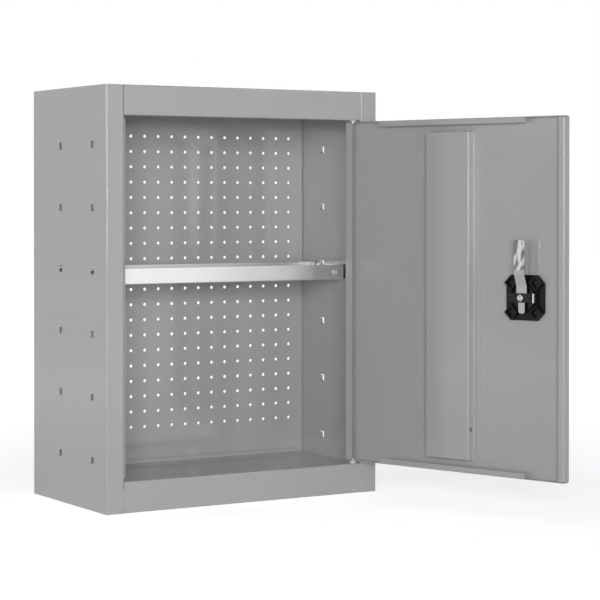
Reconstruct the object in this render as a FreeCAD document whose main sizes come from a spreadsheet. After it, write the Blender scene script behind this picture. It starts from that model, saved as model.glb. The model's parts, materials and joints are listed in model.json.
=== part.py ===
# Wall tool cabinet of folded sheet steel, with its door swung open on two pivot pins, a perforated back,
# a cam lock on the door and a galvanised tray shelf that hangs on hooks lanced out of the side panels.
# Millimetres. X runs to the right, Y to the back and Z up. The origin lies on the floor, at mid-width, in
# the middle of the front foot flange, so the cabinet's front plane is half that flange in front of it.
import FreeCAD
import Part
import Sketcher
import math
import os
from types import SimpleNamespace

# Driving dimensions: name, size, what it measures
SIZES = [
    ("width", 484.0, "cabinet over its side panels"),
    ("depth", 265.5, "cabinet from front plane to rear plane"),
    ("height", 646.0, "cabinet"),
    ("sheet", 1.0, "thickness of every folded sheet"),
    ("bend", 1.2, "inside radius of every fold"),
    ("stile", 29.5, "front stile of a side panel"),
    ("stile_return", 17.0, "front plane to the end of the stile's return"),
    ("stop_lip", 10.0, "door stop on the latch side, past the stile"),
    ("stop_margin", 4.0, "gap between the stop lip's ends and the rails"),
    ("rear_flange", 3.5, "rear flange of the side panels and the top"),
    ("top_rail", 46.0, "front rail under the top"),
    ("rail_return", 24.0, "front plane to the end of the rail's return"),
    ("rail_hem", 8.0, "upturned edge of the rail's return"),
    ("bottom_rail", 47.5, "front rail at the foot"),
    ("sill", 24.0, "depth of the sill on the bottom rail"),
    ("foot_flange", 24.0, "depth of the flange that the front stands on"),
    ("floor_drop", 6.0, "floor below the sill"),
    ("floor_upstand", 8.0, "upturned edges of the floor"),
    ("upstand_hem", 4.0, "rear upstand's top edge, turned to the front"),
    ("upstand_end", 19.0, "rear upstand's ends short of the walls"),
    ("back_inset", 40.5, "rear plane to the face of the back panel"),
    ("hole_pitch", 25.0, "perforation, both ways"),
    ("hole_size", 5.0, "perforation's diameter"),
    ("hole_side", 20.0, "least distance from the perforation to the walls"),
    ("hole_head", 20.0, "least distance from the perforation to the top of the door opening"),
    ("hole_low", 101.0, "height of the lowest row"),
    ("hook_head", 20.0, "least distance from a hook's window to the top of the door opening"),
    ("hook_pitch", 96.0, "shelf hooks, one above the other"),
    ("hook_low", 70.0, "height of the lowest hooks' feet"),
    ("hook_front", 48.5, "front plane to the first column of hooks"),
    ("hook_spread", 113.5, "between the two columns"),
    ("hook_width", 10.0, "shelf hook"),
    ("hook_height", 11.0, "shelf hook"),
    ("hook_gap", 2.0, "between a hook and the wall's inner face"),
    ("hook_slit", 0.6, "cut round a hook"),
    ("shelf_row", 3, "row of hooks that carries the shelf, the lowest being 0"),
    ("shelf_front", 92.0, "front plane to the face of the shelf"),
    ("shelf_deep", 88.0, "shelf, front to back"),
    ("shelf_rim", 25.0, "height of the shelf's rim"),
    ("rear_rim_rise", 2.5, "shelf's rear rim above the front one"),
    ("shelf_side_gap", 0.5, "between the shelf's brackets and the walls"),
    ("shelf_end_gap", 4.5, "between the rim's ends and the walls"),
    ("shelf_rest_gap", 0.3, "between a hook and the slot that hangs on it"),
    ("shelf_seat", 3.8, "bracket above its hook slots"),
    ("shelf_lift", 9.0, "lift that frees the shelf"),
    ("shelf_arm", 14.0, "bracket ahead of the front hook"),
    ("hook_slot_side", 1.5, "hook slot wider than a hook, each side"),
    ("rim_slot_long", 12.0, "slot in the front rim"),
    ("rim_slot_tall", 6.0, "slot in the front rim"),
    ("rim_slot_inset", 16.0, "slot's centre to the end of the rim"),
    ("door_side_gap", 2.0, "between the door and the stiles"),
    ("door_top_gap", 2.3, "between the door and the top rail"),
    ("door_low_gap", 5.0, "between the door and the bottom rail"),
    ("door_thick", 15.0, "door over its lips"),
    ("hinge_lip", 14.0, "lip on the door's hinge edge"),
    ("free_lip", 10.0, "lip on the door's free edge"),
    ("end_lip", 9.0, "lips on the door's top and bottom"),
    ("end_lip_inset", 70.0, "top and bottom lips' ends to the door's edges"),
    ("pivot_inset", 9.0, "pivot to the door's hinge edge"),
    ("pivot_depth", 6.5, "pivot to the door's outer face"),
    ("door_open", 107.4, "degrees that the door stands open"),
    ("stiffener_crown", 83.0, "hat section's crown"),
    ("stiffener_rise", 14.5, "hat section's height"),
    ("stiffener_flange", 14.0, "hat section's flanges"),
    ("stiffener_shift", 5.8, "hat section's middle past the door's, towards the hinge"),
    ("stiffener_top", 20.7, "hat section's end to the door's top"),
    ("stiffener_low", 20.5, "hat section's end to the door's bottom"),
    ("drain_up", 46.0, "drain hole above the hat section's end"),
    ("drain_size", 6.0, "drain hole's diameter"),
    ("pin_size", 5.0, "pivot pin"),
    ("pin_head", 8.0, "head of the pivot pin"),
    ("pin_head_tall", 2.0, "head of the pivot pin"),
    ("pin_head_edge", 0.7, "chamfer of the pin's head"),
    ("pin_reach", 1.0, "pin past the hinge plate"),
    ("running_gap", 0.05, "radial play of a turning fit"),
    ("fit_gap", 0.05, "radial play of a fixed fit"),
    ("bush_size", 7.0, "pivot bush"),
    ("bush_flange", 11.0, "flange of the bush"),
    ("bush_top_thick", 2.0, "flange of the top bush"),
    ("bush_low_thick", 4.7, "flange of the bottom bush, which the door stands on"),
    ("plate_long", 40.0, "hinge plate"),
    ("plate_deep", 16.0, "hinge plate"),
    ("plate_thick", 3.0, "hinge plate"),
    ("lock_backset", 76.7, "lock's axis to the door's free edge"),
    ("lock_rise", 0.15, "lock's axis above the door's middle"),
    ("housing_across", 68.5, "lock housing"),
    ("housing_corner", 12.0, "cut corners of the housing"),
    ("housing_base", 4.0, "housing's plate"),
    ("boss_rise", 6.0, "corner bosses above the plate"),
    ("boss_wall", 2.4, "wall round a boss's pocket"),
    ("boss_floor", 1.5, "floor of a boss's pocket above the plate"),
    ("ring_size", 52.0, "outer ring of the housing"),
    ("ring_wall", 2.0, "both rings of the housing"),
    ("ring_rise", 3.0, "outer ring above the plate"),
    ("cup_size", 41.0, "inner ring of the housing"),
    ("cup_rise", 4.5, "inner ring above the plate"),
    ("nut_size", 35.0, "clamping nut"),
    ("nut_thick", 3.5, "clamping nut"),
    ("nut_notch", 5.0, "spanner notches of the nut"),
    ("neck_size", 21.6, "neck of the escutcheon"),
    ("neck_proud", 0.8, "neck past the nut"),
    ("escutcheon_across", 78.0, "escutcheon"),
    ("escutcheon_corner", 15.0, "cut corners of the escutcheon"),
    ("escutcheon_thick", 4.0, "escutcheon"),
    ("escutcheon_edge", 1.5, "rounded front edge of the escutcheon"),
    ("spindle_size", 10.0, "spindle"),
    ("spindle_square", 7.0, "square end of the spindle"),
    ("spindle_proud", 3.2, "spindle's shoulder past the neck"),
    ("tongue_thick", 2.0, "cam tongue"),
    ("tongue_wide", 18.6, "cam tongue"),
    ("tongue_long", 87.0, "lock's axis to the tongue's end"),
    ("tongue_round", 3.5, "corners of the tongue's end"),
    ("tongue_step", 7.0, "joggle of the tongue"),
    ("step_start", 18.0, "lock's axis to the joggle"),
    ("step_long", 18.0, "joggle, along the tongue"),
    ("tongue_shoulder", 5.0, "wide part below the lock's axis"),
    ("tail_wide", 11.4, "tongue's tail"),
    ("tail_long", 23.5, "lock's axis to the tail's end"),
    ("bar_free", 23.0, "lock's axis to the crossbar's bent end"),
    ("bar_hinge", 26.0, "lock's axis to the crossbar's cranked end"),
    ("bar_leg", 5.5, "crossbar's bent end, down to the housing"),
    ("bar_tall", 14.0, "crossbar"),
    ("bar_thick", 2.5, "crossbar"),
    ("bar_step", 2.5, "crossbar's cranked end, towards the door"),
    ("bar_crank", 12.0, "lock's axis to the crank"),
    ("bar_hole", 2.4, "holes in the crossbar"),
    ("bar_hole_inset", 5.6, "crossbar's holes to its ends"),
    ("washer_size", 10.0, "cam washer"),
    ("washer_thick", 0.8, "cam washer"),
    ("screw_size", 4.0, "cam screw"),
    ("screw_head", 10.5, "cam screw's head"),
    ("screw_head_tall", 2.6, "cam screw's head"),
    ("screw_long", 12.0, "cam screw under its head"),
    ("recess_long", 6.0, "cross recess"),
    ("recess_wide", 1.4, "cross recess"),
    ("recess_deep", 1.5, "cross recess"),
    ("handle_gap", 0.3, "between the handle and the escutcheon"),
    ("handle_hub", 30.0, "hub of the handle"),
    ("handle_tall", 22.0, "hub of the handle"),
    ("handle_edge", 1.6, "rounded edges of the hub and the wing"),
    ("wing_long", 66.0, "wing of the handle"),
    ("wing_thick", 14.0, "wing of the handle"),
    ("wing_start", 7.0, "hub's foot to the wing"),
    ("wing_tall", 13.0, "wing of the handle, away from the door"),
    ("sleeve_size", 18.0, "sleeve of the key barrel"),
    ("sleeve_deep", 14.0, "sleeve inside the handle"),
    ("sleeve_proud", 1.0, "sleeve past the handle"),
    ("barrel_size", 15.0, "key barrel"),
    ("barrel_sunk", 0.6, "barrel's face below the sleeve's"),
    ("keyway_long", 8.0, "keyway"),
    ("keyway_wide", 1.8, "keyway"),
    ("keyway_deep", 9.0, "keyway"),
    ("spindle_seat", 5.0, "spindle inside the handle"),
]

doc = FreeCAD.newDocument("tool_cabinet")
sheet = doc.addObject("Spreadsheet::Sheet", "Sizes")
for row, (alias, number, meaning) in enumerate(SIZES, start=1):
    sheet.set(f"A{row}", alias)
    sheet.set(f"B{row}", str(number))
    sheet.setAlias(f"B{row}", alias)
    sheet.set(f"C{row}", meaning)
doc.recompute()


class Size:
    """A length and the formula that ties it to the sheet, so that sums of sizes stay live."""

    def __init__(self, text, value):
        self.text = text
        self.value = float(value)

    def __add__(self, other):
        other = as_size(other)
        return Size(f"({self.text} + {other.text})", self.value + other.value)

    def __sub__(self, other):
        other = as_size(other)
        return Size(f"({self.text} - {other.text})", self.value - other.value)

    def __mul__(self, other):
        other = as_size(other)
        return Size(f"({self.text} * {other.text})", self.value * other.value)

    def __truediv__(self, other):
        other = as_size(other)
        return Size(f"({self.text} / {other.text})", self.value / other.value)

    def __neg__(self):
        return Size(f"(-1 * {self.text})", -self.value)

    def __radd__(self, other):
        return as_size(other) + self

    def __rsub__(self, other):
        return as_size(other) - self

    def __rmul__(self, other):
        return as_size(other) * self


def as_size(number):
    if isinstance(number, Size):
        return number
    return Size(f"{float(number):.9g}", number)


dim = SimpleNamespace(**{alias: Size(f"Sizes.{alias}", sheet.get(alias)) for alias, number, meaning in SIZES})
cos_open = Size("cos(Sizes.door_open * 1 deg)", math.cos(math.radians(dim.door_open.value)))
sin_open = Size("sin(Sizes.door_open * 1 deg)", math.sin(math.radians(dim.door_open.value)))
fold_out = dim.bend + dim.sheet
ZERO = as_size(0)
CLOSE = 0.001


# Sketches and features

def new_body(label):
    body = doc.addObject("PartDesign::Body", label)
    body.Label = label
    return body


def sketch_on(body, plane, offset):
    """A sketch on one of the body's own origin planes, moved along that plane's normal."""
    sketch = body.newObject("Sketcher::SketchObject", f"{body.Label}_sketch")
    support = [f for f in body.Origin.OriginFeatures if f.Role == f"{plane}_Plane"][0]
    sketch.AttachmentSupport = [(support, "")]
    sketch.MapMode = "FlatFace"
    sketch.AttachmentOffset = FreeCAD.Placement(FreeCAD.Vector(0, 0, offset.value), FreeCAD.Rotation())
    sketch.setExpression("AttachmentOffset.Base.z", offset.text)
    return sketch


def hold(sketch, kind, geometry, position, length):
    """Ties one coordinate of a point to a formula."""
    index = sketch.addConstraint(
        Sketcher.Constraint(kind, -1, 1, geometry, position, length.value))
    sketch.setExpression(f"Constraints[{index}]", length.text)


def hold_radius(sketch, geometry, radius):
    index = sketch.addConstraint(Sketcher.Constraint("Radius", geometry, radius.value))
    sketch.setExpression(f"Constraints[{index}]", radius.text)


def heading(start, end):
    """Unit direction of an axis-parallel run."""
    run_x = end[0].value - start[0].value
    run_y = end[1].value - start[1].value
    length = math.hypot(run_x, run_y)
    return (round(run_x / length), round(run_y / length))


def outline(sketch, corners):
    """A closed outline of straight runs. A corner (x, y, radius) between square runs is rounded."""
    corners = [tuple(as_size(value) for value in corner) for corner in corners]
    count = len(corners)
    arrive, leave = [], []
    for index, corner in enumerate(corners):
        if len(corner) == 2:
            arrive.append(corner)
            leave.append(corner)
            continue
        x, y, radius = corner
        before = heading(corners[index - 1], corner)
        after = heading(corner, corners[(index + 1) % count])
        arrive.append((x - before[0] * radius, y - before[1] * radius))
        leave.append((x + after[0] * radius, y + after[1] * radius))
    lines = []
    for index in range(count):
        start, end = leave[index], arrive[(index + 1) % count]
        points = [FreeCAD.Vector(x.value, y.value, 0) for x, y in (start, end)]
        lines.append(sketch.addGeometry(Part.LineSegment(*points), False))
        hold(sketch, "DistanceX", lines[index], 1, start[0])
        hold(sketch, "DistanceY", lines[index], 1, start[1])
    for index, corner in enumerate(corners):
        if len(corner) == 2:
            sketch.addConstraint(Sketcher.Constraint("Coincident", lines[index - 1], 2, lines[index], 1))
            continue
        hold(sketch, "DistanceX", lines[index - 1], 2, arrive[index][0])
        hold(sketch, "DistanceY", lines[index - 1], 2, arrive[index][1])
        round_corner(sketch, corner[2], lines[index - 1], lines[index], corner, arrive[index], leave[index])


def round_corner(sketch, radius, line_in, line_out, corner, arrive, leave):
    """The arc between two square runs, from where the first stops to where the next starts."""
    x_centre = arrive[0].value + leave[0].value - corner[0].value
    y_centre = arrive[1].value + leave[1].value - corner[1].value
    spokes = [(point[0].value - x_centre, point[1].value - y_centre) for point in (arrive, leave)]
    left_turn = spokes[0][0] * spokes[1][1] - spokes[0][1] * spokes[1][0] > 0
    angles = [math.atan2(y, x) for x, y in spokes]
    arrive_end, leave_end = (1, 2) if left_turn else (2, 1)
    if not left_turn:
        angles.reverse()
    curve = Part.Circle(FreeCAD.Vector(x_centre, y_centre, 0), FreeCAD.Vector(0, 0, 1), radius.value)
    arc = sketch.addGeometry(Part.ArcOfCircle(curve, *angles), False)
    sketch.addConstraint(Sketcher.Constraint("Coincident", line_in, 2, arc, arrive_end))
    sketch.addConstraint(Sketcher.Constraint("Coincident", line_out, 1, arc, leave_end))
    hold_radius(sketch, arc, radius)


def obround(sketch, x, y, long, tall):
    """A slot that lies along the sketch's X axis, with round ends."""
    x, y, radius = as_size(x), as_size(y), tall / 2
    reach = (long - tall) / 2
    lines = []
    for start, end, level in ((x - reach, x + reach, y - radius), (x + reach, x - reach, y + radius)):
        points = [FreeCAD.Vector(value.value, level.value, 0) for value in (start, end)]
        lines.append(sketch.addGeometry(Part.LineSegment(*points), False))
        for position, value in enumerate((start, end), start=1):
            hold(sketch, "DistanceX", lines[-1], position, value)
            hold(sketch, "DistanceY", lines[-1], position, level)
    for centre, begin, first, second in ((x + reach, -math.pi / 2, lines[0], lines[1]),
                                         (x - reach, math.pi / 2, lines[1], lines[0])):
        curve = Part.Circle(FreeCAD.Vector(centre.value, y.value, 0), FreeCAD.Vector(0, 0, 1), radius.value)
        arc = sketch.addGeometry(Part.ArcOfCircle(curve, begin, begin + math.pi), False)
        sketch.addConstraint(Sketcher.Constraint("Coincident", first, 2, arc, 1))
        sketch.addConstraint(Sketcher.Constraint("Coincident", second, 1, arc, 2))
        hold(sketch, "DistanceX", arc, 3, centre)


def circle(sketch, x, y, radius):
    x, y = as_size(x), as_size(y)
    centre = FreeCAD.Vector(x.value, y.value, 0)
    index = sketch.addGeometry(Part.Circle(centre, FreeCAD.Vector(0, 0, 1), radius.value), False)
    hold(sketch, "DistanceX", index, 3, x)
    hold(sketch, "DistanceY", index, 3, y)
    hold_radius(sketch, index, radius)


def draw(sketch, outlines, circles, slots):
    for corners in outlines:
        outline(sketch, corners)
    for values in circles:
        circle(sketch, *values)
    for values in slots:
        obround(sketch, *values)


def pad(body, plane, low, high, outlines=(), circles=(), slots=()):
    """Adds material between two levels along the axis that the plane is square to."""
    low, high = as_size(low), as_size(high)
    sketch = sketch_on(body, plane, -high if plane == "XZ" else low)
    draw(sketch, outlines, circles, slots)
    feature = body.newObject("PartDesign::Pad", f"{body.Label}_pad")
    feature.Profile = sketch
    feature.setExpression("Length", (high - low).text)
    return feature


def cut(body, plane, low, high, outlines=(), circles=(), slots=()):
    """Takes material away between two levels, and stops if it took nothing."""
    low, high = as_size(low), as_size(high)
    doc.recompute()
    volume = body.Shape.Volume
    sketch = sketch_on(body, plane, -low if plane == "XZ" else high)
    draw(sketch, outlines, circles, slots)
    feature = body.newObject("PartDesign::Pocket", f"{body.Label}_cut")
    feature.Profile = sketch
    feature.setExpression("Length", (high - low).text)
    doc.recompute()
    if not body.Shape.Volume < volume:
        raise RuntimeError(f"a cut in {body.Label} takes nothing away")
    return feature


def turn(body, plane, corners):
    """Turns a half section about the sketch's own Y axis: Z on the plane XZ, Y on the plane XY."""
    sketch = sketch_on(body, plane, ZERO)
    outline(sketch, corners)
    feature = body.newObject("PartDesign::Revolution", f"{body.Label}_turn")
    feature.Profile = sketch
    feature.ReferenceAxis = (sketch, ["V_Axis"])
    feature.Angle = 360
    return feature


def soften(body, radius, wanted):
    """Rounds the edges whose end points all pass a test."""
    doc.recompute()
    base = body.Tip
    edges = [f"Edge{index}" for index, edge in enumerate(base.Shape.Edges, start=1)
             if all(wanted(vertex.Point) for vertex in edge.Vertexes)]
    feature = body.newObject("PartDesign::Fillet", f"{body.Label}_round")
    feature.Base = (base, edges)
    feature.setExpression("Radius", radius.text)
    return feature


def near(value, size):
    """Whether a coordinate lies at a size."""
    return abs(value - size.value) < CLOSE


def rectangle(x_low, x_high, y_low, y_high):
    return [(x_low, y_low), (x_high, y_low), (x_high, y_high), (x_low, y_high)]


def folded(path, side):
    """The outline of a bent sheet whose one face follows the path, laid to its left (1) or right (-1)."""
    path = [(as_size(x), as_size(y)) for x, y in path]
    runs = [heading(path[index], path[index + 1]) for index in range(len(path) - 1)]
    normals = [(-side * run[1], side * run[0]) for run in runs]
    face, back = [path[0]], [offset(path[0], normals[0])]
    for index in range(1, len(path) - 1):
        before, after = runs[index - 1], runs[index]
        inward = (before[0] * after[1] - before[1] * after[0]) * side > 0
        near, far = (fold_out, dim.bend) if inward else (dim.bend, fold_out)
        face.append((*path[index], near))
        corner = offset(offset(path[index], normals[index - 1]), normals[index])
        back.append((*corner, far))
    face.append(path[-1])
    back.append(offset(path[-1], normals[-1]))
    return face + back[::-1]


def offset(point, normal):
    """A point moved by one sheet thickness."""
    return (point[0] + normal[0] * dim.sheet, point[1] + normal[1] * dim.sheet)


def octagon(across, corner):
    half, short = across / 2, across / 2 - corner
    return [(half, -short), (half, short), (short, half), (-short, half),
            (-half, short), (-half, -short), (-short, -half), (short, -half)]


def diamond(x, y, reach):
    return [(x + reach, y), (x, y + reach), (x - reach, y), (x, y - reach)]


# Places

half_width = dim.width / 2
front = -dim.foot_flange / 2
back_face = dim.depth - dim.back_inset
floor_top = dim.bottom_rail - dim.floor_drop
opening_top = dim.height - dim.top_rail
pivot_x = half_width - dim.stile - dim.door_side_gap - dim.pivot_inset
pivot_y = dim.pivot_depth
door_wide = dim.width - 2 * dim.stile - 2 * dim.door_side_gap
door_low = dim.bottom_rail + dim.door_low_gap
door_top = opening_top - dim.door_top_gap
lock_height = (door_low + door_top) / 2 + dim.lock_rise
lap = 2 * fold_out


def as_many(space, pitch):
    """How many copies fit in a space, the first at its start."""
    share = space / pitch
    return Size(f"(floor({share.text}) + 1)", math.floor(share.value) + 1)


hole_columns = as_many(dim.width - 2 * dim.sheet - 2 * dim.hole_side, dim.hole_pitch)
hole_rows = as_many(opening_top - dim.hole_head - dim.hole_low, dim.hole_pitch)
hook_window = dim.hook_height + dim.hook_slit
hook_rows = as_many(opening_top - dim.hook_head - hook_window - dim.hook_low, dim.hook_pitch)
hook_columns = (dim.hook_front, dim.hook_front + dim.hook_spread)
SLANT = math.sqrt(2)


def place(body, x, y, z, angle=None):
    rotation = FreeCAD.Rotation(FreeCAD.Vector(0, 0, 1), angle.value if angle else 0)
    body.Placement = FreeCAD.Placement(FreeCAD.Vector(x.value, y.value, z.value), rotation)
    for axis, length in zip("xyz", (x, y, z)):
        body.setExpression(f"Placement.Base.{axis}", length.text)
    if angle:
        body.setExpression("Placement.Rotation.Angle", f"{angle.text} * 1 deg")


def place_on_cabinet(body):
    """Cabinet pieces are drawn with Y = 0 on the front plane."""
    place(body, ZERO, front, ZERO)


def place_on_pivot(body):
    """Hinge pieces of the cabinet are drawn round the pivot's axis."""
    place(body, pivot_x, front + pivot_y, ZERO)


def place_on_door(body, x=ZERO, y=ZERO, z=ZERO):
    """Door pieces are drawn with the door shut and the pivot at X = Y = 0, then swung open."""
    place(body, pivot_x + x * cos_open - y * sin_open,
          front + pivot_y + x * sin_open + y * cos_open, z, dim.door_open)


def place_on_lock(body):
    """Lock pieces are drawn round the lock's axis, with Y = 0 on the door's outer face."""
    place_on_door(body, free_edge + dim.lock_backset, outer_face, lock_height)


# Side panels: wall, front stile with its return, rear flange, and hooks lanced out of the wall

def side_panel(label, hand):
    body = new_body(label)

    def across(inset):
        """X at a distance from the panel's outer face."""
        return hand * (half_width - inset)

    path = [(across(dim.rear_flange), dim.depth), (across(ZERO), dim.depth), (across(ZERO), 0),
            (across(dim.stile), 0), (across(dim.stile), dim.stile_return)]
    pad(body, "XY", 0, dim.height, [folded(path, -hand)])
    # The stile's return stops under the top's deck
    cut(body, "XY", dim.height - dim.sheet, dim.height,
        [rectangle(across(dim.stile), across(dim.stile - dim.sheet), fold_out, dim.stile_return)])
    windows = []
    for column in hook_columns:
        reach = dim.hook_width / 2 + dim.hook_slit
        for row in range(int(hook_rows.value)):
            foot = dim.hook_low + row * dim.hook_pitch
            windows.append(rectangle(column - reach, column + reach, foot, foot + hook_window))
    wall = sorted((across(-dim.sheet), across(dim.sheet)), key=lambda level: level.value)
    cut(body, "YZ", *wall, windows)
    stand_off = dim.sheet + dim.hook_gap
    section = [(0, 0), (dim.sheet, 0), (stand_off + dim.sheet, stand_off),
               (stand_off + dim.sheet, dim.hook_height), (stand_off, dim.hook_height),
               (stand_off, dim.hook_gap + SLANT * dim.sheet), (0, (SLANT - 1) * dim.sheet)]
    for column in hook_columns:
        hooks = []
        for row in range(int(hook_rows.value)):
            foot = dim.hook_low + row * dim.hook_pitch
            hooks.append([(across(as_size(inset)), foot + rise) for inset, rise in section])
        pad(body, "XZ", column - dim.hook_width / 2, column + dim.hook_width / 2, hooks)
    place_on_cabinet(body)
    return body


left = side_panel("left_side_panel", -1)
side_panel("right_side_panel", 1)
# The latch side alone has the lip that the door shuts against and the tongue catches behind
latch_edge = dim.stile - half_width
pad(left, "XY", dim.bottom_rail + dim.stop_margin, opening_top - dim.stop_margin,
    [rectangle(latch_edge - dim.sheet, latch_edge + dim.stop_lip,
               dim.stile_return - dim.sheet, dim.stile_return)])

# Top: deck between the walls, front rail between the stiles, rear flange between the side panels' own
top = new_body("top_panel")
rail_end = half_width - dim.stile
rail = [(dim.rail_return, dim.height), (0, dim.height), (0, opening_top),
        (dim.rail_return, opening_top), (dim.rail_return, opening_top + dim.rail_hem)]
pad(top, "YZ", -rail_end, rail_end, [folded(rail, 1)])
deck_end = half_width - dim.sheet
pad(top, "YZ", -deck_end, deck_end,
    [rectangle(fold_out, dim.depth - fold_out, dim.height - dim.sheet, dim.height)])
flange_end = half_width - dim.rear_flange
rear = [(dim.depth - lap, dim.height), (dim.depth, dim.height), (dim.depth, dim.height - dim.rear_flange)]
pad(top, "YZ", -flange_end, flange_end, [folded(rear, -1)])
bush_hole = dim.bush_size / 2 + dim.fit_gap
cut(top, "XY", opening_top - dim.sheet, opening_top + fold_out, circles=[(pivot_x, pivot_y, bush_hole)])
place_on_cabinet(top)

# Bottom: foot flange, front rail, sill and sunk floor with its upturned edges
bottom = new_body("bottom_panel")
rail = [(dim.foot_flange, 0), (0, 0), (0, dim.bottom_rail), (dim.sill, dim.bottom_rail),
        (dim.sill, floor_top), (dim.sill + lap, floor_top)]
pad(bottom, "YZ", -rail_end, rail_end, [folded(rail, -1)])
floor_end = deck_end - fold_out
floor_under = floor_top - dim.sheet
pad(bottom, "YZ", -floor_end, floor_end,
    [rectangle(dim.sill + fold_out, back_face - fold_out, floor_under, floor_top)])
upstand_top = floor_top + dim.floor_upstand
rear = [(back_face - lap, floor_under), (back_face, floor_under), (back_face, upstand_top),
        (back_face - dim.upstand_hem, upstand_top)]
upstand_reach = half_width - dim.upstand_end
pad(bottom, "YZ", -upstand_reach, upstand_reach, [folded(rear, 1)])
for hand in (-1, 1):
    edge = [(hand * (deck_end - lap), floor_under), (hand * deck_end, floor_under),
            (hand * deck_end, upstand_top)]
    pad(bottom, "XZ", dim.sill + fold_out, back_face - fold_out, [folded(edge, hand)])
cut(bottom, "XY", dim.bottom_rail - fold_out, dim.bottom_rail + dim.sheet,
    circles=[(pivot_x, pivot_y, bush_hole)])
place_on_cabinet(bottom)

# Back: perforated tray between the walls, its flanges turned to the rear
back = new_body("back_panel")
flange_tip = dim.depth - fold_out
tray = [(-deck_end, flange_tip), (-deck_end, back_face), (deck_end, back_face), (deck_end, flange_tip)]
tray_top = dim.height - dim.sheet
pad(back, "XY", fold_out, tray_top - fold_out, [folded(tray, 1)])
upper = [(flange_tip, tray_top), (back_face, tray_top), (back_face, tray_top - lap)]
lower = [(flange_tip, 0), (back_face, 0), (back_face, lap)]
pad(back, "YZ", -floor_end, floor_end, [folded(upper, 1), folded(lower, -1)])
field_wide = (hole_columns - 1) * dim.hole_pitch
field_tall = (hole_rows - 1) * dim.hole_pitch
first_hole = cut(back, "XZ", back_face - dim.sheet, back_face + 2 * dim.sheet,
                 circles=[(-field_wide / 2, dim.hole_low, dim.hole_size / 2)])
holes = back.newObject("PartDesign::MultiTransform", "back_panel_holes")
holes.Originals = [first_hole]
patterns = []
for role, length, count in (("X_Axis", field_wide, hole_columns), ("Z_Axis", field_tall, hole_rows)):
    pattern = back.newObject("PartDesign::LinearPattern", f"back_panel_{role}")
    pattern.Direction = ([f for f in back.Origin.OriginFeatures if f.Role == role][0], [""])
    pattern.setExpression("Length", length.text)
    pattern.setExpression("Occurrences", count.text)
    patterns.append(pattern)
holes.Transformations = patterns
back.Tip = holes
place_on_cabinet(back)


# Hinge plates inside the rails and flanged bushes through them. Up is +1 at the top and -1 at the foot.

def hinge_seat(name, rail_face, up, flange_thick):
    def level(rise):
        return rail_face + up * rise

    def levels(low_rise, high_rise):
        return sorted((level(low_rise), level(high_rise)), key=lambda height: height.value)

    plate = new_body(f"{name}_hinge_plate")
    plate_end = dim.pivot_inset
    pad(plate, "XY", *levels(dim.sheet, dim.sheet + dim.plate_thick),
        [rectangle(plate_end - dim.plate_long, plate_end, fold_out - pivot_y,
                   fold_out - pivot_y + dim.plate_deep)], circles=[(0, 0, bush_hole)])
    place_on_pivot(plate)
    bush = new_body(f"{name}_hinge_bush")
    bore = dim.pin_size / 2 + dim.running_gap
    end = level(dim.sheet + dim.plate_thick)
    turn(bush, "XZ", [(bore, level(-flange_thick)),
                      (dim.bush_flange / 2, level(-flange_thick)),
                      (dim.bush_flange / 2, level(ZERO)), (dim.bush_size / 2, level(ZERO)),
                      (dim.bush_size / 2, end), (bore, end)])
    place_on_pivot(bush)


hinge_seat("top", opening_top, 1, dim.bush_top_thick)
hinge_seat("bottom", dim.bottom_rail, -1, dim.bush_low_thick)

# Door: folded tray with lips, drawn shut round its pivot
hinge_edge = dim.pivot_inset
free_edge = dim.pivot_inset - door_wide
outer_face = -dim.pivot_depth
lip_face = dim.door_thick - dim.pivot_depth
skin = new_body("door_skin")
tray = [(hinge_edge - dim.hinge_lip, lip_face), (hinge_edge, lip_face), (hinge_edge, outer_face),
        (free_edge, outer_face), (free_edge, lip_face), (free_edge + dim.free_lip, lip_face)]
pad(skin, "XY", door_low + fold_out, door_top - fold_out, [folded(tray, -1)])
flange_tip = lip_face - fold_out
ends = [(flange_tip, door_top), (outer_face, door_top), (outer_face, door_low), (flange_tip, door_low)]
pad(skin, "YZ", free_edge + fold_out, hinge_edge - fold_out, [folded(ends, 1)])
upper = [(lip_face, door_top - dim.end_lip), (lip_face, door_top), (lip_face - lap, door_top)]
lower = [(lip_face - lap, door_low), (lip_face, door_low), (lip_face, door_low + dim.end_lip)]
pad(skin, "YZ", free_edge + dim.end_lip_inset, hinge_edge - dim.end_lip_inset,
    [folded(upper, 1), folded(lower, 1)])
pin_hole = dim.pin_size / 2 + dim.fit_gap
for level in (door_low, door_top):
    cut(skin, "XY", level - 2 * dim.sheet, level + 2 * dim.sheet, circles=[(0, 0, pin_hole)])
neck_hole = dim.neck_size / 2 + dim.fit_gap
cut(skin, "XZ", outer_face - dim.sheet, outer_face + 2 * dim.sheet,
    circles=[(free_edge + dim.lock_backset, lock_height, neck_hole)])
place_on_door(skin)

# Hat section spot-welded down the middle of the door
stiffener = new_body("door_stiffener")
middle = (hinge_edge + free_edge) / 2 + dim.stiffener_shift
foot = outer_face + dim.sheet
inner_half = dim.stiffener_crown / 2 - dim.sheet
hat = [(middle - inner_half - dim.stiffener_flange, foot), (middle - inner_half, foot),
       (middle - inner_half, foot + dim.stiffener_rise - dim.sheet),
       (middle + inner_half, foot + dim.stiffener_rise - dim.sheet),
       (middle + inner_half, foot), (middle + inner_half + dim.stiffener_flange, foot)]
pad(stiffener, "XY", door_low + dim.stiffener_low, door_top - dim.stiffener_top, [folded(hat, 1)])
free_wall = middle - dim.stiffener_crown / 2
cut(stiffener, "YZ", free_wall - dim.sheet, free_wall + 2 * dim.sheet,
    circles=[(foot + dim.stiffener_rise / 2, door_low + dim.stiffener_low + dim.drain_up,
              dim.drain_size / 2)])
place_on_door(stiffener)


# Pivot pins, each with a low head inside the door

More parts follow.
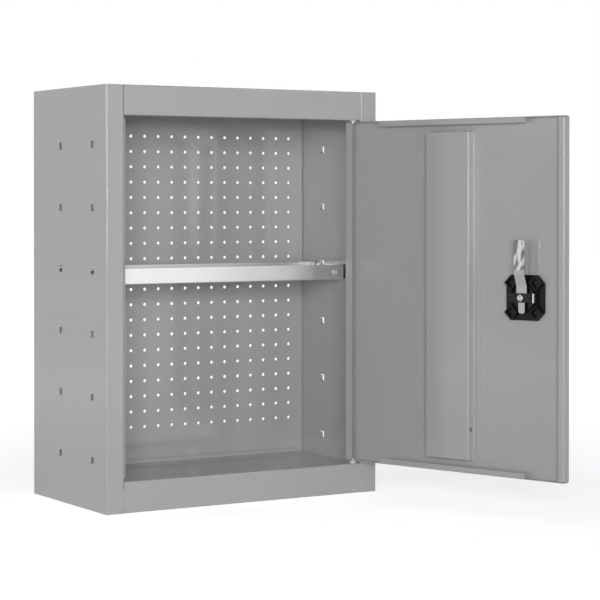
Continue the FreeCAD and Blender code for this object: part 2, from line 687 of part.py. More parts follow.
def hinge_pin(name, door_end, up, gap):
    def level(rise):
        return door_end + up * rise

    body = new_body(f"{name}_hinge_pin")
    tip = level(gap + dim.sheet + dim.plate_thick + dim.pin_reach)
    seat = level(-dim.sheet)
    head_face = level(-dim.sheet - dim.pin_head_tall)
    chamfer = level(dim.pin_head_edge - dim.sheet - dim.pin_head_tall)
    shank, head = dim.pin_size / 2, dim.pin_head / 2
    turn(body, "XZ", [(0, tip), (0, head_face), (head - dim.pin_head_edge, head_face), (head, chamfer),
                      (head, seat), (shank, seat), (shank, tip)])
    place_on_door(body)


hinge_pin("top", door_top, 1, dim.door_top_gap)
hinge_pin("bottom", door_low, -1, dim.door_low_gap)

# Lock housing: black moulding on the inside of the door, with hollow diamond bosses and two rings
plate_top = dim.sheet + dim.housing_base
housing = new_body("lock_housing")
pad(housing, "XZ", dim.sheet, plate_top, [octagon(dim.housing_across, dim.housing_corner)],
    circles=[(0, 0, neck_hole)])
boss_place = dim.housing_across / 2 - dim.housing_corner
boss_centres = [(x * boss_place, z * boss_place) for x in (-1, 1) for z in (-1, 1)]
boss_top = plate_top + dim.boss_rise
for size, rise in ((dim.ring_size, dim.ring_rise), (dim.cup_size, dim.cup_rise)):
    pad(housing, "XZ", plate_top, plate_top + rise,
        circles=[(0, 0, size / 2), (0, 0, size / 2 - dim.ring_wall)])
pad(housing, "XZ", plate_top, boss_top, [diamond(x, z, dim.housing_corner) for x, z in boss_centres])
pocket = dim.housing_corner - SLANT * dim.boss_wall
cut(housing, "XZ", plate_top + dim.boss_floor, boss_top, [diamond(x, z, pocket) for x, z in boss_centres])
place_on_lock(housing)

# Escutcheon on the outside, with the threaded neck that passes through the door
escutcheon = new_body("lock_escutcheon")
nut_top = plate_top + dim.nut_thick
neck_end = nut_top + dim.neck_proud
spindle_bore = (0, 0, dim.spindle_size / 2 + dim.running_gap)
pad(escutcheon, "XZ", -dim.escutcheon_thick, 0, [octagon(dim.escutcheon_across, dim.escutcheon_corner)],
    circles=[spindle_bore])
pad(escutcheon, "XZ", 0, neck_end, circles=[(0, 0, dim.neck_size / 2), spindle_bore])
soften(escutcheon, dim.escutcheon_edge, lambda point: near(point.y, -dim.escutcheon_thick)
       and math.hypot(point.x, point.z) > dim.neck_size.value)
place_on_lock(escutcheon)

# Round nut with spanner notches, screwed on the neck inside the housing's cup
nut = new_body("lock_nut")
nut_radius = dim.nut_size / 2
pad(nut, "XZ", plate_top, nut_top, circles=[(0, 0, nut_radius), (0, 0, neck_hole)])
notch = dim.nut_notch / 2
cut(nut, "XZ", plate_top, nut_top,
    [rectangle(nut_radius - notch, nut_radius + notch, -notch, notch),
     rectangle(-nut_radius - notch, -nut_radius + notch, -notch, notch)])
place_on_lock(nut)

# Spindle from the handle to the cam, with a square end and a tapped hole
hub_foot = -dim.escutcheon_thick - dim.handle_gap
shoulder = neck_end + dim.spindle_proud
tongue_top = shoulder + dim.tongue_thick
bar_top = tongue_top + dim.bar_thick
spindle = new_body("lock_spindle")
pad(spindle, "XZ", hub_foot - dim.spindle_seat, shoulder, circles=[(0, 0, dim.spindle_size / 2)])
square = dim.spindle_square / 2
pad(spindle, "XZ", shoulder, bar_top - dim.fit_gap, [rectangle(-square, square, -square, square)])
washer_top = bar_top + dim.washer_thick
screw_tip = washer_top - dim.screw_long
cut(spindle, "XZ", screw_tip - dim.fit_gap, bar_top, circles=[(0, 0, dim.screw_size / 2 + dim.fit_gap)])
place_on_lock(spindle)

# Cam tongue: wide strip with a joggle, and a narrow tail with rounded corners
square_hole = square + dim.fit_gap
tongue = new_body("cam_tongue")
step_end = dim.step_start + dim.step_long
strip = [(shoulder, -dim.tongue_shoulder), (tongue_top, -dim.tongue_shoulder), (tongue_top, dim.step_start),
         (tongue_top + dim.tongue_step, step_end), (tongue_top + dim.tongue_step, dim.tongue_long),
         (shoulder + dim.tongue_step, dim.tongue_long), (shoulder + dim.tongue_step, step_end),
         (shoulder, dim.step_start)]
pad(tongue, "YZ", -dim.tongue_wide / 2, dim.tongue_wide / 2, [strip])
tail_round = dim.tail_wide / 3
pad(tongue, "XZ", shoulder, tongue_top,
    [[(-dim.tail_wide / 2, 0), (-dim.tail_wide / 2, -dim.tail_long, tail_round),
      (dim.tail_wide / 2, -dim.tail_long, tail_round), (dim.tail_wide / 2, 0)]])
cut(tongue, "XZ", shoulder, tongue_top, [rectangle(-square_hole, square_hole, -square_hole, square_hole)])
for side in (-dim.tongue_wide / 2, dim.tongue_wide / 2):
    soften(tongue, dim.tongue_round, lambda point: near(point.z, dim.tongue_long) and near(point.x, side))
place_on_lock(tongue)

# Crossbar over the tongue: a leg bent down at its free end, and a crank at its hinge-side end
bar = new_body("cam_crossbar")
crank_end = dim.bar_crank + dim.bar_step
leg_inner = dim.bar_thick - dim.bar_free
leg_tip = bar_top - dim.bar_leg
crank_low, crank_high = tongue_top - dim.bar_step, bar_top - dim.bar_step
section = [(-dim.bar_free, leg_tip), (leg_inner, leg_tip), (leg_inner, tongue_top),
           (dim.bar_crank, tongue_top), (crank_end, crank_low), (dim.bar_hinge, crank_low),
           (dim.bar_hinge, crank_high), (crank_end, crank_high), (dim.bar_crank, bar_top),
           (-dim.bar_free, bar_top, dim.bar_thick)]
pad(bar, "XY", -dim.bar_tall / 2, dim.bar_tall / 2, [section])
hole_radius = dim.bar_hole / 2
cut(bar, "XZ", crank_low, bar_top,
    [rectangle(-square_hole, square_hole, -square_hole, square_hole)],
    circles=[(dim.bar_hole_inset - dim.bar_free, 0, hole_radius),
             (dim.bar_hinge - dim.bar_hole_inset, 0, hole_radius)])
place_on_lock(bar)

# Washer and cross-recess screw that hold the cam on the spindle
washer = new_body("cam_washer")
pad(washer, "XZ", bar_top, washer_top,
    circles=[(0, 0, dim.washer_size / 2), (0, 0, dim.screw_size / 2 + dim.fit_gap)])
place_on_lock(washer)

screw = new_body("cam_screw")
head_top = washer_top + dim.screw_head_tall
shank = dim.screw_size / 2
head = dim.screw_head / 2
turn(screw, "XY", [(0, screw_tip), (shank, screw_tip), (shank, washer_top), (head, washer_top),
                   (head, washer_top + dim.screw_head_tall / 2), (head - dim.screw_head_tall / 2, head_top),
                   (0, head_top)])
slot, arm = dim.recess_wide / 2, dim.recess_long / 2
cross = [(slot, slot), (arm, slot), (arm, -slot), (slot, -slot), (slot, -arm), (-slot, -arm),
         (-slot, -slot), (-arm, -slot), (-arm, slot), (-slot, slot), (-slot, arm), (slot, arm)]
cut(screw, "XZ", head_top - dim.recess_deep, head_top, [cross])
place_on_lock(screw)

# Wing handle on the outside, bored for the spindle and for the key barrel's sleeve
hub_face = hub_foot - dim.handle_tall
handle = new_body("lock_handle")
wing_top = hub_foot - dim.wing_start
wing = [(-dim.wing_thick / 2, -dim.wing_long / 2), (dim.wing_thick / 2, -dim.wing_long / 2),
        (dim.wing_thick / 2, dim.wing_long / 2), (-dim.wing_thick / 2, dim.wing_long / 2)]
wing_round = dim.wing_thick / 3
wing_face = wing_top - dim.wing_tall
pad(handle, "XZ", wing_face, wing_top, [[(*corner, wing_round) for corner in wing]])
soften(handle, dim.handle_edge, lambda point: near(point.y, wing_face))
pad(handle, "XZ", hub_face, hub_foot, circles=[(0, 0, dim.handle_hub / 2)])
soften(handle, dim.handle_edge, lambda point: near(point.y, hub_face))
cut(handle, "XZ", hub_face, hub_face + dim.sleeve_deep, circles=[(0, 0, dim.sleeve_size / 2 + dim.fit_gap)])
cut(handle, "XZ", hub_foot - dim.spindle_seat, hub_foot,
    circles=[(0, 0, dim.spindle_size / 2 + dim.fit_gap)])
place_on_lock(handle)

sleeve_face = hub_face - dim.sleeve_proud
sleeve_end = hub_face + dim.sleeve_deep
sleeve = new_body("lock_sleeve")
pad(sleeve, "XZ", sleeve_face, sleeve_end,
    circles=[(0, 0, dim.sleeve_size / 2), (0, 0, dim.barrel_size / 2 + dim.running_gap)])
place_on_lock(sleeve)

# Key barrel with its keyway
barrel = new_body("key_barrel")
barrel_face = sleeve_face + dim.barrel_sunk
pad(barrel, "XZ", barrel_face, sleeve_end - dim.handle_gap, circles=[(0, 0, dim.barrel_size / 2)])
key_tall, key_wide = dim.keyway_long / 2, dim.keyway_wide / 2
cut(barrel, "XZ", barrel_face, barrel_face + dim.keyway_deep,
    [rectangle(-key_wide, key_wide, -key_tall, key_tall)])
place_on_lock(barrel)

# Shelf: tray with upturned edges all round
shelf = new_body("shelf")
hook_foot = dim.hook_low + dim.shelf_row * dim.hook_pitch
bracket_face = half_width - dim.sheet - dim.shelf_side_gap
slot_top = hook_foot + dim.sheet + dim.shelf_side_gap + SLANT * dim.sheet + dim.shelf_rest_gap
rim_top = slot_top + dim.shelf_seat
rim_low = rim_top - dim.shelf_rim
shelf_rear = dim.shelf_front + dim.shelf_deep
rim_end = half_width - dim.sheet - dim.shelf_end_gap
rear_top = rim_top + dim.rear_rim_rise
tray = [(dim.shelf_front, rim_top), (dim.shelf_front, rim_low), (shelf_rear, rim_low), (shelf_rear, rear_top)]
pad(shelf, "YZ", -rim_end, rim_end, [folded(tray, 1)])
end_face = bracket_face - dim.sheet
ends = [(-end_face, rim_top), (-end_face, rim_low), (end_face, rim_low), (end_face, rim_top)]
pad(shelf, "XZ", dim.shelf_front + fold_out, shelf_rear - fold_out, [folded(ends, 1)])
hook_reach = dim.hook_width / 2 + dim.hook_slot_side
slot_low = hook_foot - dim.shelf_lift
# The end walls are open above the rear hooks
cut(shelf, "YZ", -half_width, half_width,
    [rectangle(hook_columns[1] - hook_reach, hook_columns[1] + hook_reach, slot_low, rim_top + dim.sheet)])
slot_place = rim_end - dim.rim_slot_inset
cut(shelf, "XZ", dim.shelf_front - dim.sheet, dim.shelf_front + 2 * dim.sheet,
    slots=[(hand * slot_place, (rim_low + rim_top) / 2, dim.rim_slot_long, dim.rim_slot_tall)
           for hand in (-1, 1)])
place_on_cabinet(shelf)


# Brackets welded to the shelf's ends, which hang on one row of hooks, with an arm to the front column

def shelf_bracket(label, low, high):
    body = new_body(label)
    arm_tip = dim.hook_front - dim.shelf_arm
    pad(body, "YZ", low, high, [rectangle(arm_tip, shelf_rear - fold_out, rim_low + fold_out, rim_top)])
    cut(body, "YZ", low, high, [rectangle(column - hook_reach, column + hook_reach, slot_low, slot_top)
                                for column in hook_columns])
    place_on_cabinet(body)


shelf_bracket("left_shelf_bracket", -bracket_face, -end_face)
shelf_bracket("right_shelf_bracket", end_face, bracket_face)

# Every piece is checked before any is written
doc.recompute()
bodies = [item for item in doc.Objects if item.TypeId == "PartDesign::Body"]
for item in doc.Objects:
    if "Invalid" in item.State or "Error" in item.State:
        raise RuntimeError(f"{item.Label} failed: {item.State}")
for body in bodies:
    shape = body.Shape
    if shape.isNull() or not shape.isValid() or len(shape.Solids) != 1:
        raise RuntimeError(f"{body.Label} isn't one valid solid")

os.makedirs("parts", exist_ok=True)
for body in bodies:
    body.Shape.exportStep(f"parts/{body.Label}.step")
    print(f"{body.Label}: {body.Shape.Volume / 1000:.2f} cm3")
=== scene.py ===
import json
import math
import bmesh
import bpy
from mathutils import Matrix, Vector


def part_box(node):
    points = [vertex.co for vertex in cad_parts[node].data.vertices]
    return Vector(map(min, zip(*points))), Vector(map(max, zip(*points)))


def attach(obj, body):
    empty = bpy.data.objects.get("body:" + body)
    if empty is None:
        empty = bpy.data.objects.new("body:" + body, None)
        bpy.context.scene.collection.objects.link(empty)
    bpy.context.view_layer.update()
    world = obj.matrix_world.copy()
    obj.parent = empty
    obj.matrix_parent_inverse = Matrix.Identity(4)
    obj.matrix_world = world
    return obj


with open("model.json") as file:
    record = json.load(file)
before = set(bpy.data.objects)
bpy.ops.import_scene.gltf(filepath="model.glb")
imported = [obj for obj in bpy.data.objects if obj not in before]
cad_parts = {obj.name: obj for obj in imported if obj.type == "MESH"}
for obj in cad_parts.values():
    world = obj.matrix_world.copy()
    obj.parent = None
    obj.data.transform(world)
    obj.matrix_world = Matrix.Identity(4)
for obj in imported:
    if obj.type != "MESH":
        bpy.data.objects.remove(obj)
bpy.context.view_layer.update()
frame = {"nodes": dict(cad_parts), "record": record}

nodes = frame["nodes"]


# Side panels
# Folded sheet steel with the shelf hooks lanced out of the wall, degreased and sprayed with grey powder.
# The powder melts into a glossy coat that lies a little wavy, like orange peel, and pools slightly.

PAINT_GREY = (0.45, 0.45, 0.45, 1)
PAINT_GLOSS = 0.06
PAINT_DRIFT = 0.04
PAINT_RELIEF = 0.02
POOLS_PER_METRE = 7.0
SPECKS_PER_METRE = 420.0
PEEL_PER_METRE = 650.0
HAZE_PER_METRE = 55.0
HAZE_DULLING = 0.04
RELIEF_DEPTH = 0.0001


def add_node(tree, kind, settings=None, **inputs):
    """A node with its settings. Sockets go by name, or by number as i0, i1, and take a value or a link."""
    made = tree.nodes.new(f"ShaderNode{kind}")
    for key, value in (settings or {}).items():
        setattr(made, key, value)
    for key, value in inputs.items():
        numbered = key[0] == "i" and key[1:].isdigit()
        socket = made.inputs[int(key[1:]) if numbered else key.replace("_", " ")]
        if isinstance(value, bpy.types.NodeSocket):
            tree.links.new(value, socket)
        else:
            socket.default_value = value
    return made


def math_node(tree, operation, *values):
    """One sum of the node kind Math."""
    numbered = {f"i{index}": value for index, value in enumerate(values)}
    return add_node(tree, "Math", {"operation": operation}, **numbered).outputs[0]


def noise(tree, where, per_metre, **settings):
    """Soft noise over a surface, about a half on average."""
    return add_node(tree, "TexNoise", Vector=where, Scale=per_metre, **settings).outputs["Fac"]


def tint_by(tree, colour, level):
    """A colour made lighter or darker."""
    return add_node(tree, "VectorMath", {"operation": "SCALE"}, i0=colour, Scale=level).outputs[0]


def new_finish(name, **inputs):
    """A shader node group for a finish, with inputs given as name and kind, and the place on the surface."""
    tree = bpy.data.node_groups.new(name, "ShaderNodeTree")
    for label, kind in inputs.items():
        tree.interface.new_socket(label, in_out="INPUT", socket_type=f"NodeSocket{kind}")
    for label, kind in (("Color", "Color"), ("Roughness", "Float"), ("Height", "Float")):
        tree.interface.new_socket(label, in_out="OUTPUT", socket_type=f"NodeSocket{kind}")
    where = add_node(tree, "TexCoord").outputs["Object"]
    return tree, tree.nodes.new("NodeGroupInput").outputs, where


def close_finish(tree, **results):
    """Links what a finish has worked out to the group's outputs."""
    outputs = tree.nodes.new("NodeGroupOutput").inputs
    for label, result in results.items():
        tree.links.new(result, outputs[label])


def emptied(holder):
    """The node tree of a material or of the world, with nothing in it."""
    holder.use_nodes = True
    holder.node_tree.nodes.clear()
    return holder.node_tree


def coated(name, finish, relief, **inputs):
    """A material whose shader takes colour, roughness and relief from a finish with values of its own."""
    material = bpy.data.materials.new(name)
    tree = emptied(material)
    shader = add_node(tree, "BsdfPrincipled")
    add_node(tree, "OutputMaterial", Surface=shader.outputs[0])
    layer = add_node(tree, "Group", {"node_tree": finish}, **inputs)
    bump = add_node(tree, "Bump", Strength=relief, Distance=RELIEF_DEPTH, Height=layer.outputs["Height"])
    tree.links.new(layer.outputs["Color"], shader.inputs["Base Color"])
    tree.links.new(layer.outputs["Roughness"], shader.inputs["Roughness"])
    tree.links.new(bump.outputs["Normal"], shader.inputs["Normal"])
    return material, tree, shader, layer


def finish_with(material, *node_names):
    """Puts one finish on pieces of the frame."""
    for node_name in node_names:
        mesh = nodes[node_name].data
        mesh.materials.clear()
        mesh.materials.append(material)


# The pools and the specks are each a half on average, so their sum swings about one.
powder, given, where = new_finish("Powder coat", Tint="Color", Drift="Float", Gloss="Float")
pools = noise(powder, where, POOLS_PER_METRE, Detail=3.0)
specks = noise(powder, where, SPECKS_PER_METRE, Detail=3.0, Roughness=0.6)
peel = noise(powder, where, PEEL_PER_METRE, Detail=2.0)
haze = noise(powder, where, HAZE_PER_METRE, Detail=2.0)
patches = math_node(powder, "ADD", pools, specks)
swing = math_node(powder, "SUBTRACT", patches, 1.0)
shade = math_node(powder, "MULTIPLY_ADD", swing, given["Drift"], 1.0)
dulled = math_node(powder, "MULTIPLY_ADD", haze, HAZE_DULLING, given["Gloss"])
close_finish(powder, Color=tint_by(powder, given["Tint"], shade), Roughness=dulled, Height=peel)

grey_paint = coated("grey_powder_coat", powder, PAINT_RELIEF,
                    Tint=PAINT_GREY, Drift=PAINT_DRIFT, Gloss=PAINT_GLOSS)[0]
finish_with(grey_paint, "left_side_panel", "right_side_panel")


# Spot welds
# Each side panel is welded to the flange of the back through its wall, in three places one above the other.
# The electrode leaves a shallow round mark in the sheet, which the paint covers.

WELD_RADIUS = 0.0032
WELD_RISE = 0.0003
WELD_HEIGHTS = (0.094, 0.3215, 0.5485)
WELD_FROM_REAR = 0.0195
WELD_RINGS = 5
WELD_SEGMENTS = 28


def weld_mark(shape, centre, normal):
    """A low dome on a flat face: rings that shrink as they rise, closed by a fan and by a flat foot."""
    turn = Vector((0, 0, 1)).rotation_difference(normal).to_matrix()
    rings = []
    for step in range(WELD_RINGS):
        slope = math.radians(90 * step / WELD_RINGS)
        radius = WELD_RADIUS * math.cos(slope)
        rise = WELD_RISE * math.sin(slope)
        ring = []
        for index in range(WELD_SEGMENTS):
            angle = math.tau * index / WELD_SEGMENTS
            offset = Vector((radius * math.cos(angle), radius * math.sin(angle), rise))
            ring.append(shape.verts.new(centre + turn @ offset))
        rings.append(ring)
    for low, high in zip(rings, rings[1:]):
        for index in range(WELD_SEGMENTS):
            after = (index + 1) % WELD_SEGMENTS
            shape.faces.new((low[index], low[after], high[after], high[index])).smooth = True
    crown = shape.verts.new(centre + turn @ Vector((0, 0, WELD_RISE)))
    for index in range(WELD_SEGMENTS):
        after = (index + 1) % WELD_SEGMENTS
        shape.faces.new((rings[-1][index], rings[-1][after], crown)).smooth = True
    shape.faces.new(rings[0][::-1])


def new_piece(name, shape, material):
    """A mesh object made from a bmesh, with one material."""
    mesh = bpy.data.meshes.new(name)
    shape.to_mesh(mesh)
    shape.free()
    mesh.materials.append(material)
    piece = bpy.data.objects.new(name, mesh)
    bpy.context.scene.collection.objects.link(piece)
    return piece


for side, corner in (("left", 0), ("right", 1)):
    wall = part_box(f"{side}_side_panel")
    outward = Vector((2 * corner - 1, 0, 0))
    marks = bmesh.new()
    for height in WELD_HEIGHTS:
        weld_mark(marks, Vector((wall[corner][0], wall[1][1] - WELD_FROM_REAR, height)), outward)
    piece = new_piece(f"{side}_weld_marks", marks, grey_paint)
    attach(piece, "cabinet")


# Top, bottom and back
# Folded sheet steel like the sides, welded to them and sprayed in one go. The back is perforated before it
# is folded.

finish_with(grey_paint, "top_panel", "bottom_panel", "back_panel")


# Hinge plates and bushes
# Thick plates welded inside the rails, painted over, and natural nylon bushes pressed through them.
# Moulded nylon has fine pits from the mould, and faint clouds where the melt flowed.

NYLON_TINT = (0.62, 0.62, 0.60, 1)
NYLON_GLOSS = 0.35
NYLON_RELIEF = 0.1
PITS_PER_METRE = 2400.0
CLOUDS_PER_METRE = 90.0
CLOUD_DARK, CLOUD_LIGHT = 0.8, 1.25
CLOUD_DULLING = 0.15


def spread(tree, value, low, high):
    """A value from 0 to 1, spread between two levels."""
    return add_node(tree, "MapRange", Value=value, To_Min=low, To_Max=high).outputs[0]


grain, given, where = new_finish("Moulded grain", Tint="Color", Gloss="Float")
pits = noise(grain, where, PITS_PER_METRE, Detail=2.0)
clouds = noise(grain, where, CLOUDS_PER_METRE, Detail=3.0)
shade = spread(grain, clouds, CLOUD_DARK, CLOUD_LIGHT)
dulled = math_node(grain, "MULTIPLY_ADD", clouds, CLOUD_DULLING, given["Gloss"])
close_finish(grain, Color=tint_by(grain, given["Tint"], shade), Roughness=dulled, Height=pits)

nylon = coated("natural_nylon", grain, NYLON_RELIEF, Tint=NYLON_TINT, Gloss=NYLON_GLOSS)[0]
finish_with(grey_paint, "top_hinge_plate", "bottom_hinge_plate")
finish_with(nylon, "top_hinge_bush", "bottom_hinge_bush")


# Door
# A tray of the same sheet with a lip on each edge, and a hat section spot-welded down its middle.
# Both are sprayed together, so the paint runs over the joint.

finish_with(grey_paint, "door_skin", "door_stiffener")


# Hinge pins
# Turned steel with a low head inside the door. The pins are zinc plated in a barrel, which leaves a fine
# scatter of scuffs.

ZINC_TINT = (0.44, 0.445, 0.45, 1)
ZINC_GLOSS = 0.16
PLATED_RELIEF = 0.1
SCUFFS_PER_METRE = 700.0
SCUFF_DARK, SCUFF_LIGHT = 0.85, 1.05
SCUFF_DULLING = 0.2

plating, given, where = new_finish("Plating", Tint="Color", Gloss="Float")
scuffs = noise(plating, where, SCUFFS_PER_METRE, Detail=4.0, Roughness=0.7)
shade = spread(plating, scuffs, SCUFF_DARK, SCUFF_LIGHT)
dulled = math_node(plating, "MULTIPLY_ADD", scuffs, SCUFF_DULLING, given["Gloss"])
close_finish(plating, Color=tint_by(plating, given["Tint"], shade), Roughness=dulled, Height=scuffs)


def plated(name, tint, gloss):
    """Bare or plated metal with barrel scuffs."""
    material, tree, shader, layer = coated(name, plating, PLATED_RELIEF, Tint=tint, Gloss=gloss)
    shader.inputs["Metallic"].default_value = 1.0
    return material, tree, shader, layer


zinc_plate = plated("zinc_plate", ZINC_TINT, ZINC_GLOSS)[0]
finish_with(zinc_plate, "top_hinge_pin", "bottom_hinge_pin")


# Lock housing, escutcheon and handle
# Glass-filled nylon, moulded black with a fine spark-eroded grain, clamped through the door by a round nut.

BLACK_TINT = (0.005, 0.005, 0.0055, 1)
BLACK_GLOSS = 0.34
BLACK_RELIEF = 0.15
BLACK_SHINE = 0.22

black_plastic, _, shader, _ = coated("black_moulded_plastic", grain, BLACK_RELIEF,
                                     Tint=BLACK_TINT, Gloss=BLACK_GLOSS)
shader.inputs["Specular IOR Level"].default_value = BLACK_SHINE
finish_with(black_plastic, "lock_housing", "lock_escutcheon", "lock_handle")


# Nut and crossbar
# Pressed steel, blackened in a hot salt bath. The crossbar's bent end is ground bare after blackening.

BLACKENED_STEEL_AND_SHADE_TINT = (0.034, 0.034, 0.036, 1)
BLACKENED_GLOSS = 0.3
BARE_STEEL = (0.36, 0.365, 0.37, 1)
BARE_END_DEPTH = 0.0014

blackened_steel_and_painted_shade = plated("blackened_steel_and_shade", BLACKENED_STEEL_AND_SHADE_TINT, BLACKENED_GLOSS)[0]
finish_with(blackened_steel_and_painted_shade, "lock_nut")

joints = {joint["name"]: joint for joint in frame["record"]["behaviour"]["joints"]}
lock_axis = Vector(joints["lock_turn"]["axis"])
lock_place = Vector(joints["lock_turn"]["pos_m"])
to_free_edge = Vector((lock_axis.y, -lock_axis.x, 0))
bar_end = max(corner.co.dot(to_free_edge) for corner in nodes["cam_crossbar"].data.vertices)

# Of the sockets of Mix, 6 and 7 are its two colours.
crossbar_steel, tree, shader, layer = plated("blackened_steel_bare_end", BLACKENED_STEEL_AND_SHADE_TINT, BLACKENED_GLOSS)
where = add_node(tree, "TexCoord").outputs["Object"]
along = add_node(tree, "VectorMath", {"operation": "DOT_PRODUCT"}, i0=where, i1=to_free_edge)
ground = math_node(tree, "GREATER_THAN", along.outputs["Value"], bar_end - BARE_END_DEPTH)
bare = add_node(tree, "Mix", {"data_type": "RGBA"}, i0=ground, i6=layer.outputs["Color"], i7=BARE_STEEL)
tree.links.new(bare.outputs[2], shader.inputs["Base Color"])
finish_with(crossbar_steel, "cam_crossbar")


# Spindle, tongue, washer and screw
# Steel with zinc plate. The tongue is cut from strip and joggled. On its long end, dark and bright patches
# are painted into its colour: a painted reflection of its polished face.

TONGUE_TINT = (0.40, 0.405, 0.41, 1)
TONGUE_GLOSS = 0.12
# Heights above the lock where the painted reflection on the tongue begins and is full.
REFLECTION_ZONE_FROM, REFLECTION_ZONE_FULL = 0.040, 0.044
REFLECTION_PATCHES_PER_METRE = (110.0, 110.0, 48.0)
REFLECTION_PATCH_FROM, REFLECTION_PATCH_FULL = 0.5, 0.63
PAINTED_REFLECTION_DARK, PAINTED_REFLECTION_BRIGHT = 0.5, 1.6

finish_with(zinc_plate, "lock_spindle", "cam_washer", "cam_screw")

# The mapping counts the painted reflection patches, longer than wide, so the noise itself keeps a scale of
# one.
tongue_steel, tree, shader, layer = plated("zinc_strip_with_painted_reflection", TONGUE_TINT, TONGUE_GLOSS)
where = add_node(tree, "TexCoord").outputs["Object"]
height = add_node(tree, "SeparateXYZ", Vector=where).outputs["Z"]
# Painted reflection: from these heights up, the tongue's colour is scaled darker and lighter in stretched
# patches.
reflection_zone = add_node(tree, "MapRange", Value=height, From_Min=lock_place.z + REFLECTION_ZONE_FROM,
                     From_Max=lock_place.z + REFLECTION_ZONE_FULL).outputs[0]
drawn_out = add_node(tree, "Mapping", Vector=where, Scale=REFLECTION_PATCHES_PER_METRE).outputs[0]
patches = noise(tree, drawn_out, 1.0, Detail=0.0, Distortion=0.6)
painted_reflection = add_node(tree, "MapRange", Value=patches, From_Min=REFLECTION_PATCH_FROM, From_Max=REFLECTION_PATCH_FULL,
                 To_Min=PAINTED_REFLECTION_DARK, To_Max=PAINTED_REFLECTION_BRIGHT).outputs[0]
reflection_level = add_node(tree, "Mix", i0=reflection_zone, i2=1.0, i3=painted_reflection).outputs[0]
tree.links.new(tint_by(tree, layer.outputs["Color"], reflection_level), shader.inputs["Base Color"])
finish_with(tongue_steel, "cam_tongue")


# Sleeve and key barrel
# Turned brass, polished and chrome plated, seated in the handle.

CHROME_TINT = (0.80, 0.81, 0.83, 1)
CHROME_GLOSS = 0.05

bright_chrome = plated("bright_chrome", CHROME_TINT, CHROME_GLOSS)[0]
finish_with(bright_chrome, "lock_sleeve", "key_barrel")


# Shelf
# A tray of hot-dip galvanised sheet, folded on all sides, with brackets welded on its ends that hang on the
# hooks. The brackets get the dark blackened-steel finish as painted shade, for the shadowed gaps at the
# shelf's ends. The zinc is skin-passed, so only a fine, low patchwork of its crystals is left.

GALVANISED_TINT = (0.80, 0.805, 0.81, 1)
GALVANISED_GLOSS = 0.28
GALVANISED_RELIEF = 0.01
GALVANISED_METAL = 0.55
CRYSTALS_PER_METRE = 420.0
CRYSTAL_DARK, CRYSTAL_LIGHT = 0.97, 1.01
CRYSTAL_DULLING = 0.05
ROLL_MARKS_PER_METRE = 1500.0

spangle, given, where = new_finish("Spangle", Tint="Color", Gloss="Float")
crystals = add_node(spangle, "TexVoronoi", Vector=where, Scale=CRYSTALS_PER_METRE)
cell = add_node(spangle, "SeparateColor", Color=crystals.outputs["Color"]).outputs
shade = spread(spangle, cell["Red"], CRYSTAL_DARK, CRYSTAL_LIGHT)
dulled = math_node(spangle, "MULTIPLY_ADD", cell["Green"], CRYSTAL_DULLING, given["Gloss"])
roll_marks = noise(spangle, where, ROLL_MARKS_PER_METRE, Detail=2.0)
close_finish(spangle, Color=tint_by(spangle, given["Tint"], shade), Roughness=dulled, Height=roll_marks)

galvanised, _, shader, _ = coated("galvanised_sheet", spangle, GALVANISED_RELIEF,
                                  Tint=GALVANISED_TINT, Gloss=GALVANISED_GLOSS)
shader.inputs["Metallic"].default_value = GALVANISED_METAL
finish_with(galvanised, "shelf")
# Painted shade: the brackets take the dark blackened finish, which stands in for the shade at the shelf's
# ends.
finish_with(blackened_steel_and_painted_shade, "left_shelf_bracket", "right_shelf_bracket")


# Studio
# A white paper floor and a white surround, with a large soft lamp behind the camera and smaller ones around
# the cabinet. The floor glows a little less near the cabinet, which leaves its shadow visible.

WHITE = (1, 1, 1, 1)
PAPER_TINT = (0.8, 0.8, 0.8, 1)
FLOOR_HALF = 9.0
FLOOR_DROP = 0.0005
NEAR_GLOW = 0.72
GLOW_FROM, GLOW_TO = 0.5, 2.2
ROOM_LIGHT = 0.10
LAMP_AIM = Vector((0, 0.05, 0.35))


def seen_directly(tree):
    """1 for rays from the camera and for rays by way of gloss or glass, and 0 for light on the object."""
    rays = add_node(tree, "LightPath").outputs
    shiny = math_node(tree, "MAXIMUM", rays["Is Glossy Ray"], rays["Is Transmission Ray"])
    return math_node(tree, "MAXIMUM", rays["Is Camera Ray"], shiny)


paper = bpy.data.materials.new("white_paper")
tree = emptied(paper)
matte = add_node(tree, "BsdfDiffuse", Color=PAPER_TINT)
where = add_node(tree, "TexCoord").outputs["Object"]
far = add_node(tree, "VectorMath", {"operation": "LENGTH"}, i0=where).outputs["Value"]
glow = add_node(tree, "MapRange", Value=far, From_Min=GLOW_FROM, From_Max=GLOW_TO,
                To_Min=NEAR_GLOW, To_Max=1.0).outputs[0]
strength = math_node(tree, "MULTIPLY", glow, seen_directly(tree))
white = add_node(tree, "Emission", Color=WHITE, Strength=strength)
both = add_node(tree, "AddShader", i0=matte.outputs[0], i1=white.outputs[0])
add_node(tree, "OutputMaterial", Surface=both.outputs[0])

sweep = bmesh.new()
bmesh.ops.create_grid(sweep, x_segments=1, y_segments=1, size=FLOOR_HALF)
floor = new_piece("studio_floor", sweep, paper)
floor.location.z = -FLOOR_DROP

world = bpy.data.worlds.new("studio")
bpy.context.scene.world = world
tree = emptied(world)
level = spread(tree, seen_directly(tree), ROOM_LIGHT, 1.0)
surround = add_node(tree, "Background", Color=WHITE, Strength=level)
add_node(tree, "OutputWorld", Surface=surround.outputs[0])


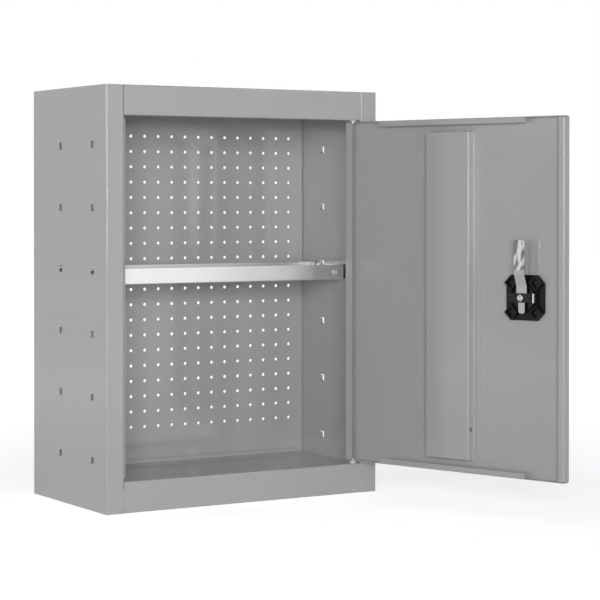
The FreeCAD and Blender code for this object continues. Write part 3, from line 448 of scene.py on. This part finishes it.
def soft_lamp(name, place, wide, tall, power):
    """An area lamp that faces the middle of the cabinet."""
    light = bpy.data.lights.new(name, "AREA")
    light.shape = "RECTANGLE"
    light.size = wide
    light.size_y = tall
    light.energy = power
    lamp = bpy.data.objects.new(name, light)
    lamp.location = place
    lamp.rotation_euler = (LAMP_AIM - Vector(place)).to_track_quat("-Z", "Y").to_euler()
    bpy.context.scene.collection.objects.link(lamp)


soft_lamp("front_softbox", place=(-2.4, -4.4, 0.98), wide=1.6, tall=1.6, power=116)
soft_lamp("right_softbox", place=(1.0, -4.6, 0.9), wide=1.2, tall=1.2, power=20)
soft_lamp("left_strip", place=(-2.1, -1.35, 0.6), wide=0.15, tall=1.2, power=8)
soft_lamp("rear_left_softbox", place=(-2.3, 1.6, 0.9), wide=0.6, tall=0.6, power=13)
soft_lamp("high_right_lamp", place=(1.56, -2.28, 1.55), wide=0.4, tall=0.4, power=4)


# Camera
# Stands to the left of the cabinet, about three metres off and at three quarters of its height. It looks
# almost level, with the picture shifted down, which keeps the upright edges parallel.

CAMERA_PLACE = Vector((-1.58332, -2.75688, 0.47572))
CAMERA_AHEAD = Vector((0.52222, 0.85276, -0.00963)).normalized()
CAMERA_RIGHT = Vector((0.85280, -0.52224, 0.00033)).normalized()
SENSOR_WIDE = 36.0
PICTURE_WIDE = 600
PICTURE_MIDDLE = 0.5
FOCAL_PIXELS = 2033.68
LEVEL_ROW = 217.24

lens = bpy.data.cameras.new("camera")
lens.sensor_fit = "HORIZONTAL"
lens.sensor_width = SENSOR_WIDE
lens.lens = FOCAL_PIXELS / PICTURE_WIDE * SENSOR_WIDE
lens.shift_y = LEVEL_ROW / PICTURE_WIDE - PICTURE_MIDDLE
camera = bpy.data.objects.new("camera", lens)
camera_up = CAMERA_RIGHT.cross(CAMERA_AHEAD)
turn = Matrix((CAMERA_RIGHT, camera_up, -CAMERA_AHEAD)).transposed()
camera.matrix_world = Matrix.Translation(CAMERA_PLACE) @ turn.to_4x4()
bpy.context.scene.collection.objects.link(camera)
bpy.context.scene.camera = camera
bpy.context.scene.view_settings.view_transform = "Standard"
